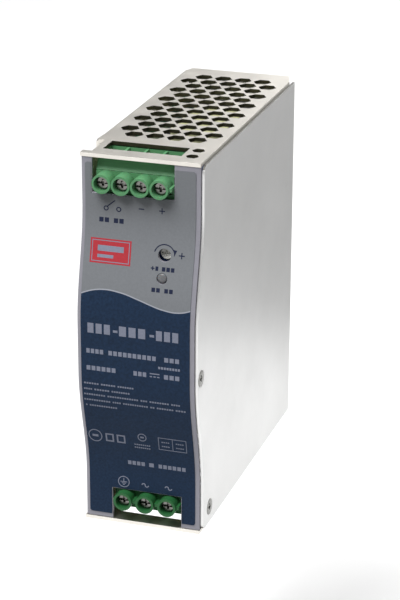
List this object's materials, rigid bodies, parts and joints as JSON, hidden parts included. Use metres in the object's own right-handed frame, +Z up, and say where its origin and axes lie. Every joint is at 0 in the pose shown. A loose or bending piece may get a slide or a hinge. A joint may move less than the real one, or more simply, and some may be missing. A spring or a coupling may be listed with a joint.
{
  "type": "din rail power supply",
  "caption": "Narrow sheet-metal power supply for a 35 mm top-hat rail: waved front, screw terminals above and below, honeycomb vents, output trimmer and spring latch.",
  "frame": {"origin": "centre of the footprint, at the underside of the case", "axes": "+Z up the case, +X to the right as seen from the front, +Y from the front to the rail"},
  "size_m": [0.04, 0.1198, 0.1252],
  "materials": {
    "sheet": "plain satin sheet, slightly warm",
    "panel": "matte grey-lavender paint",
    "label": "matte printed film, grey over navy",
    "zinc": "bright zinc plate",
    "steel": "nickel-plated steel",
    "copper": "tinned copper alloy and varnished wire",
    "light_green": "satin green moulding",
    "dark_green": "satin dark green moulding",
    "board": "green solder mask",
    "film": "thin insulating film",
    "black": "moulded black resin",
    "blue": "dark blue sleeve",
    "yellow": "pale yellow tape and sleeve",
    "ferrite": "dark grey ferrite",
    "aluminium": "bare extruded aluminium",
    "white": "white moulding",
    "lamp": "clear grey lens, unlit",
    "glass": "clear tube with metal caps"
  },
  "bodies": {
    "case": {"chassis": "sheet", "side_cover": "sheet", "front_panel": "panel", "front_label": "label", "cover_screw_upper": "steel", "cover_screw_lower": "steel", "output_terminal_housing": "light_green", "output_contact_1": "copper", "output_contact_2": "copper", "output_contact_3": "copper", "output_contact_4": "copper", "input_terminal_housing": "dark_green", "input_contact_1": "copper", "input_contact_2": "copper", "input_contact_3": "copper", "main_board": "board", "insulating_film": "film", "board_pillar_1": "copper", "board_pillar_2": "copper", "board_pillar_3": "copper", "board_pillar_4": "copper", "front_board": "board", "input_board": "board", "trimmer_body": "blue", "status_lamp": "lamp", "fuse": "glass", "common_mode_choke": "copper", "x_capacitor": "yellow", "bridge_rectifier": "black", "bulk_capacitor": "black", "boost_choke": "yellow", "primary_heat_sink": "aluminium", "primary_transistor": "black", "transformer_core": "ferrite", "transformer_winding": "yellow", "secondary_heat_sink": "aluminium", "output_rectifier": "black", "output_capacitor_1": "blue", "output_capacitor_2": "blue", "dc_ok_relay": "black", "rail_clip_plate": "zinc", "latch_spring": "steel", "rail_clip_screw_1": "steel", "rail_clip_screw_2": "steel"},
    "rail_latch": {"rail_latch": "zinc"},
    "trimmer_rotor": {"trimmer_rotor": "white"},
    "output_screw_1": {"output_terminal_screw_1": "steel"},
    "output_cage_1": {"output_clamp_cage_1": "zinc"},
    "output_screw_2": {"output_terminal_screw_2": "steel"},
    "output_cage_2": {"output_clamp_cage_2": "zinc"},
    "output_screw_3": {"output_terminal_screw_3": "steel"},
    "output_cage_3": {"output_clamp_cage_3": "zinc"},
    "output_screw_4": {"output_terminal_screw_4": "steel"},
    "output_cage_4": {"output_clamp_cage_4": "zinc"},
    "input_screw_1": {"input_terminal_screw_1": "steel"},
    "input_cage_1": {"input_clamp_cage_1": "zinc"},
    "input_screw_2": {"input_terminal_screw_2": "steel"},
    "input_cage_2": {"input_clamp_cage_2": "zinc"},
    "input_screw_3": {"input_terminal_screw_3": "steel"},
    "input_cage_3": {"input_clamp_cage_3": "zinc"}
  },
  "joints": [
    {"name": "rail_latch_slide", "type": "slide", "parent": "case", "child": "rail_latch", "axis": [0, 0, -1], "range_m": [0, 0.005], "stiffness_N_per_m": 800, "springref_m": -0.004, "deforming": ["latch_spring"]},
    {"name": "trimmer_turn", "type": "hinge", "parent": "case", "child": "trimmer_rotor", "pos_m": [0.008, -0.0533, 0.0951], "axis": [0, 1, 0], "range_deg": [-135, 135]},
    {"name": "output_screw_1_turn", "type": "hinge", "parent": "case", "child": "output_screw_1", "pos_m": [-0.01213, -0.0549, 0.11645], "axis": [0, 1, 0], "range_deg": [0, 2521]},
    {"name": "output_cage_1_rise", "type": "slide", "parent": "case", "child": "output_cage_1", "axis": [0, -1, 0], "range_m": [0, 0.0035]},
    {"name": "output_screw_2_turn", "type": "hinge", "parent": "case", "child": "output_screw_2", "pos_m": [-0.00588, -0.0549, 0.11645], "axis": [0, 1, 0], "range_deg": [0, 2521]},
    {"name": "output_cage_2_rise", "type": "slide", "parent": "case", "child": "output_cage_2", "axis": [0, -1, 0], "range_m": [0, 0.0035]},
    {"name": "output_screw_3_turn", "type": "hinge", "parent": "case", "child": "output_screw_3", "pos_m": [0.00038, -0.0549, 0.11645], "axis": [0, 1, 0], "range_deg": [0, 2521]},
    {"name": "output_cage_3_rise", "type": "slide", "parent": "case", "child": "output_cage_3", "axis": [0, -1, 0], "range_m": [0, 0.0035]},
    {"name": "output_screw_4_turn", "type": "hinge", "parent": "case", "child": "output_screw_4", "pos_m": [0.00662, -0.0549, 0.11645], "axis": [0, 1, 0], "range_deg": [0, 2521]},
    {"name": "output_cage_4_rise", "type": "slide", "parent": "case", "child": "output_cage_4", "axis": [0, -1, 0], "range_m": [0, 0.0035]},
    {"name": "input_screw_1_turn", "type": "hinge", "parent": "case", "child": "input_screw_1", "pos_m": [-0.00635, -0.0549, 0.0089], "axis": [0, 1, 0], "range_deg": [0, 2521]},
    {"name": "input_cage_1_rise", "type": "slide", "parent": "case", "child": "input_cage_1", "axis": [0, -1, 0], "range_m": [0, 0.0035]},
    {"name": "input_screw_2_turn", "type": "hinge", "parent": "case", "child": "input_screw_2", "pos_m": [0.00115, -0.0549, 0.0089], "axis": [0, 1, 0], "range_deg": [0, 2521]},
    {"name": "input_cage_2_rise", "type": "slide", "parent": "case", "child": "input_cage_2", "axis": [0, -1, 0], "range_m": [0, 0.0035]},
    {"name": "input_screw_3_turn", "type": "hinge", "parent": "case", "child": "input_screw_3", "pos_m": [0.00865, -0.0549, 0.0089], "axis": [0, 1, 0], "range_deg": [0, 2521]},
    {"name": "input_cage_3_rise", "type": "slide", "parent": "case", "child": "input_cage_3", "axis": [0, -1, 0], "range_m": [0, 0.0035]}
  ],
  "couplings": [
    {"joint": "output_screw_1_turn", "follows": "output_cage_1_rise", "rad_per_m": 12566},
    {"joint": "output_screw_2_turn", "follows": "output_cage_2_rise", "rad_per_m": 12566},
    {"joint": "output_screw_3_turn", "follows": "output_cage_3_rise", "rad_per_m": 12566},
    {"joint": "output_screw_4_turn", "follows": "output_cage_4_rise", "rad_per_m": 12566},
    {"joint": "input_screw_1_turn", "follows": "input_cage_1_rise", "rad_per_m": 12566},
    {"joint": "input_screw_2_turn", "follows": "input_cage_2_rise", "rad_per_m": 12566},
    {"joint": "input_screw_3_turn", "follows": "input_cage_3_rise", "rad_per_m": 12566}
  ]
}
